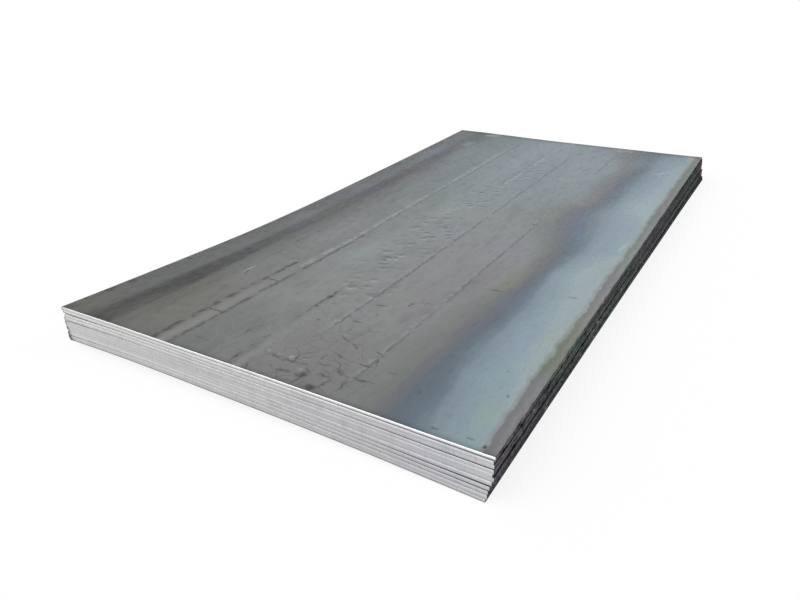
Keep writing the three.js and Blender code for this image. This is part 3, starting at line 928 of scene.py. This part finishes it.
def sheared_steel():
    """Bare steel cut by the shear: bright and finely scored, and duller where it tore."""
    material, tree, surface, place = new_finish("sheared_bright_steel")
    through, at_lip = up_the_rim(tree)
    shift = wander(tree, place, TEAR_WAVE, RAGGED, TEAR_STRAY)
    height = add_node(tree, "Math", {0: through, 1: shift}, operation="ADD")
    burnished = add_node(tree, "MapRange", {0: height, 1: TEAR_HEIGHT - TEAR_FADE,
                                            2: TEAR_HEIGHT + TEAR_FADE})
    # The tones of the bands hold painted light and shade as well as the steel's own tone.
    torn, smooth, lip = (add_node(tree, "Attribute", {}, output="Fac", attribute_name=name)
                         for name in (TORN_TONE, SMOOTH_TONE, LIP_TONE))
    tone = add_node(tree, "Mix", {0: burnished, 2: torn, 3: smooth})
    tone = add_node(tree, "Mix", {0: at_lip, 2: tone, 3: lip})
    colour = add_node(tree, "Mix", {0: 1.0, 6: hex_colour(BARE_STEEL), 7: tone}, **SHADING)

    drawn = add_node(tree, "Mapping", {"Vector": place, "Scale": SCORE_DRAWN_OUT})
    scores = add_node(tree, "TexNoise", {"Vector": drawn, "Scale": 1 / SCORE_SPACING,
                                         "Detail": RAGGED})
    colour = shaded(tree, colour, scores, SCORE_SHADES)
    colour = clouded(tree, colour, place, SMEAR_SIZE, FINE, SMEARS)
    # The painted reflection of the sky, across the cut.
    colour = shaded(tree, colour, across_and_along(tree, place)[0], PAINTED_SKY_REFLECTION)
    relief = add_node(tree, "Bump", {"Height": scores, "Strength": SCORE_STRENGTH,
                                     "Distance": SCORE_RELIEF})
    roughness = add_node(tree, "MapRange", {0: burnished, 3: TORN_ROUGHNESS,
                                            4: BURNISHED_ROUGHNESS})
    set_inputs(surface, {"Base Color": colour, "Roughness": roughness, "Normal": relief,
                         "Metallic": SHEAR_METALLIC})
    return material


# --- The mill edges -------------------------------------------------------------------------------
# Both long sides are left as the mill cut them hot, under a dark, almost black scale. It is matt,
# has a green or a violet cast in places, and is chipped and lightly scratched by handling.
# Painted shade darkens the edges towards the floor and in the seams between the plates, and a painted
# highlight runs along the top plate's upper rim.

# The casts of the dark scale, in clouds.
EDGE_CASTS = [(0.34, "#8A9690"), (0.46, "#7C8685"), (0.56, "#7D7D80"), (0.68, "#858289")]
EDGE_CLOUD_SIZE = 0.222
EDGE_DRAWN_OUT = (1.0, 0.5, 1.6)

# The painted shade that darkens the edge towards the floor, its shades from the near end to the far
# end, and those of the lip: painted shade in the seams between the plates, and on the top plate a
# painted highlight along its upper rim that turns dark towards the near end.
EDGE_FLOOR_SHADE = [(0.0, 0.10), (0.009, 0.25), (0.018, 0.80), (0.05, 0.96), (0.10, 1.0)]
EDGE_SHADES = [(-1.5, "#FFF6FF"), (-1.35, "#F6ECF4"), (-1.2, "#E6DCE4"), (-0.95, "#D0DBD3"),
               (-0.5, "#D4DBD6"), (-0.1, "#D6DEDA"), (0.1, "#DAD7D9"), (0.5, "#DAE0E0"),
               (0.8, "#D4CFD2"), (1.1, "#CED6D0"), (1.5, "#DADEDA")]
# Painted shade on the lips, in the seams between the plates.
LIP_SEAM_SHADE = [(-1.5, "#3A3A3C"), (1.5, "#343436")]
# A painted highlight along the top plate's upper rim, darker towards the near end.
TOP_LIP_HIGHLIGHT = [(-1.5, "#222226"), (-1.15, "#2C2C2E"), (-0.95, "#5E605C"), (-0.3, "#848684"),
              (0.0, "#A6A9A8"), (0.9, "#949695"), (1.2, "#6A6C6C"), (1.5, "#5A5C5C")]

# The pits, which are drawn a few times as coarse as real ones so that they show, and the chips: black
# notches where their noise is high, and bare scratches where it is low and the edge was rubbed.
EDGE_PIT_SIZE = 0.0125
PITTING = [(0.36, "#A6A6A6"), (0.46, "#E8E8E8"), (0.56, "#FFFFFF"), (0.70, "#FFFFFF")]
EDGE_CHIP_SIZE = 0.0167
CHIP_DRAWN_OUT = (1.0, 0.5, 1.2)
NOTCH = "#101011"
NOTCH_START, NOTCH_FULL = 0.60, 0.66
SCRATCH = "#9A9D96"
SCRATCH_START, SCRATCH_FULL = 0.37, 0.32
RUBBED_SIZE = 0.20
RUBBED_START, RUBBED_FULL = 0.47, 0.55
EDGE_STRENGTH = 0.6
EDGE_RELIEF = 0.0005

# The gloss of the dark scale is low, and as dark as the scale.
EDGE_METALLIC = 0.6
EDGE_ROUGHNESS = 0.7
EDGE_SPECULAR = 0.2
EDGE_GLOSS_TINT = "#6C6C6F"


def mill_edge_scale(name, lip_shades):
    """Steel under the heavy scale of a hot-cut edge: dark, matt, pitted and a little scratched."""
    material, tree, surface, place = new_finish(name)
    y = across_and_along(tree, place)[1]
    drawn = add_node(tree, "Mapping", {"Vector": place, "Scale": EDGE_DRAWN_OUT})
    casts = add_node(tree, "TexNoise", {"Vector": drawn, "Scale": 1 / EDGE_CLOUD_SIZE,
                                        "Detail": FINEST})
    colour = tints_along(tree, casts, EDGE_CASTS)
    # Painted shade towards the floor, then the shades along the edge.
    colour = shaded(tree, colour, y.node.outputs["Z"], EDGE_FLOOR_SHADE)
    colour = shaded(tree, colour, y, EDGE_SHADES)
    # The lip, in painted shade or under a painted highlight.
    at_lip = up_the_rim(tree)[1]
    tint = tints_along(tree, y, lip_shades)
    colour = add_node(tree, "Mix", {0: at_lip, 6: colour, 7: tint}, **LAID_OVER)

    colour = clouded(tree, colour, place, EDGE_PIT_SIZE, FINE, PITTING)
    chips = add_node(tree, "Mapping", {"Vector": place, "Scale": CHIP_DRAWN_OUT})
    chips = add_node(tree, "TexNoise", {"Vector": chips, "Scale": 1 / EDGE_CHIP_SIZE,
                                        "Detail": RAGGED})
    notches = add_node(tree, "MapRange", {0: chips, 1: NOTCH_START, 2: NOTCH_FULL})
    colour = add_node(tree, "Mix", {0: notches, 6: colour, 7: hex_colour(NOTCH)}, **LAID_OVER)
    scratches = add_node(tree, "MapRange", {0: chips, 1: SCRATCH_START, 2: SCRATCH_FULL})
    rubbed = speckles(tree, place, RUBBED_SIZE, SMOOTH, RUBBED_START, RUBBED_FULL)
    scratches = add_node(tree, "Math", {0: scratches, 1: rubbed}, operation="MULTIPLY")
    colour = add_node(tree, "Mix", {0: scratches, 6: colour, 7: hex_colour(SCRATCH)}, **LAID_OVER)
    relief = add_node(tree, "Math", {0: chips, 1: notches}, operation="SUBTRACT")
    relief = add_node(tree, "Bump", {"Height": relief, "Strength": EDGE_STRENGTH,
                                     "Distance": EDGE_RELIEF})
    set_inputs(surface, {"Base Color": colour, "Normal": relief, "Metallic": EDGE_METALLIC,
                         "Roughness": EDGE_ROUGHNESS, "Specular IOR Level": EDGE_SPECULAR,
                         "Specular Tint": hex_colour(EDGE_GLOSS_TINT)})
    return material


# --- The stack ------------------------------------------------------------------------------------
# The eleven plates lie loose, one on another. Each plate's skin stands for its frame plate, and the
# top one, which shows the most, is smoothed the most finely.

SMOOTHING = 2
TOP_SMOOTHING = 3

plain_finish = plain_scale()
top_finish = heat_tinted_scale()
cut_finish = sheared_steel()
edge_finish = mill_edge_scale("mill_edge_scale", LIP_SEAM_SHADE)
top_edge_finish = mill_edge_scale("mill_edge_scale_with_painted_highlight", TOP_LIP_HIGHLIGHT)
below = None

for name, tones in zip(PLATE_NAMES, CUT_TONES_AND_PAINTED_LIGHT):
    mesh = plate_mesh(name, below)
    below = BVHTree.FromObject(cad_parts[name], bpy.context.evaluated_depsgraph_get())
    tone_and_light_the_cut(mesh, tones)
    data = bpy.data.meshes.new(name + "_skin")
    mesh.to_mesh(data)
    mesh.free()
    plate = bpy.data.objects.new(name + "_skin", data)
    bpy.context.scene.collection.objects.link(plate)
    on_top = name == TOP_PLATE
    data.materials.append(top_finish if on_top else plain_finish)
    data.materials.append(cut_finish)
    data.materials.append(top_edge_finish if on_top else edge_finish)
    skin = plate.modifiers.new("rolled_smooth", "SUBSURF")
    skin.levels = skin.render_levels = TOP_SMOOTHING if on_top else SMOOTHING
    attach(plate, "root")
    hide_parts(name)


# --- The studio -----------------------------------------------------------------------------------
# A white paper floor, white air and one large soft lamp over the near left corner. The floor and the
# air look white to the eye and in reflections, but light the plates less than they show.

FLOOR_SIZE = 60.0
PAPER = "#696969"
FLOOR_GLOW = 0.86
WHITE = "#FFFFFF"
AMBIENT = 0.55
SUN_STRENGTH = 1.8
SUN_SPREAD = math.radians(60)
SUN_FROM = Vector((-2.5, -3.0, 4.5))


def looked_at(tree):
    """1 for what the camera sees, also in a reflection or through glass, and 0 for lighting."""
    rays = add_node(tree, "LightPath", {}, output="Is Camera Ray").node.outputs
    seen = rays["Is Camera Ray"]
    for ray in ("Is Glossy Ray", "Is Transmission Ray"):
        seen = add_node(tree, "Math", {0: seen, 1: rays[ray]}, operation="ADD")
    return seen


bpy.ops.mesh.primitive_plane_add(size=FLOOR_SIZE)
floor = bpy.context.object
floor.name = "studio_floor"
paper = bpy.data.materials.new("white_paper")
paper.use_nodes = True
tree = paper.node_tree
tree.nodes.remove(tree.nodes["Principled BSDF"])
glow = add_node(tree, "Math", {0: looked_at(tree), 1: FLOOR_GLOW}, operation="MULTIPLY")
glow = add_node(tree, "Emission", {"Strength": glow})
matt = add_node(tree, "BsdfDiffuse", {"Color": hex_colour(PAPER)})
both = add_node(tree, "AddShader", {0: glow, 1: matt})
set_inputs(tree.nodes["Material Output"], {"Surface": both})
floor.data.materials.append(paper)

world = bpy.data.worlds.new("studio_air")
bpy.context.scene.world = world
world.use_nodes = True
tree = world.node_tree
strength = add_node(tree, "MapRange", {0: looked_at(tree), 3: AMBIENT, 4: 1.0})
set_inputs(tree.nodes["Background"], {"Color": hex_colour(WHITE), "Strength": strength})

light = bpy.data.lights.new("soft_lamp", "SUN")
light.energy = SUN_STRENGTH
light.angle = SUN_SPREAD
lamp = bpy.data.objects.new("soft_lamp", light)
lamp.rotation_euler = SUN_FROM.to_track_quat("Z", "Y").to_euler()
lamp.location = SUN_FROM
bpy.context.scene.collection.objects.link(lamp)

# The camera, in metres and degrees, and its view in pixels.
CAMERA_PLACE = Vector((1.1686, -2.6082, 1.0859))
CAMERA_HEADING = 30.653
CAMERA_DIP = 25.865
CAMERA_ROLL = -1.192
FOCAL_PIXELS = 669.6
PICTURE_WIDTH = 800
SENSOR_WIDTH = 36.0

camera_data = bpy.data.cameras.new("camera")
camera_data.sensor_width = SENSOR_WIDTH
camera_data.lens = FOCAL_PIXELS * SENSOR_WIDTH / PICTURE_WIDTH
camera = bpy.data.objects.new("camera", camera_data)
heading = Matrix.Rotation(math.radians(CAMERA_HEADING), 4, "Z")
dip = Matrix.Rotation(math.radians(90 - CAMERA_DIP), 4, "X")
roll = Matrix.Rotation(math.radians(CAMERA_ROLL), 4, "Z")
camera.matrix_world = Matrix.Translation(CAMERA_PLACE) @ heading @ dip @ roll
bpy.context.scene.collection.objects.link(camera)
bpy.context.scene.camera = camera
bpy.context.scene.view_settings.view_transform = "Standard"
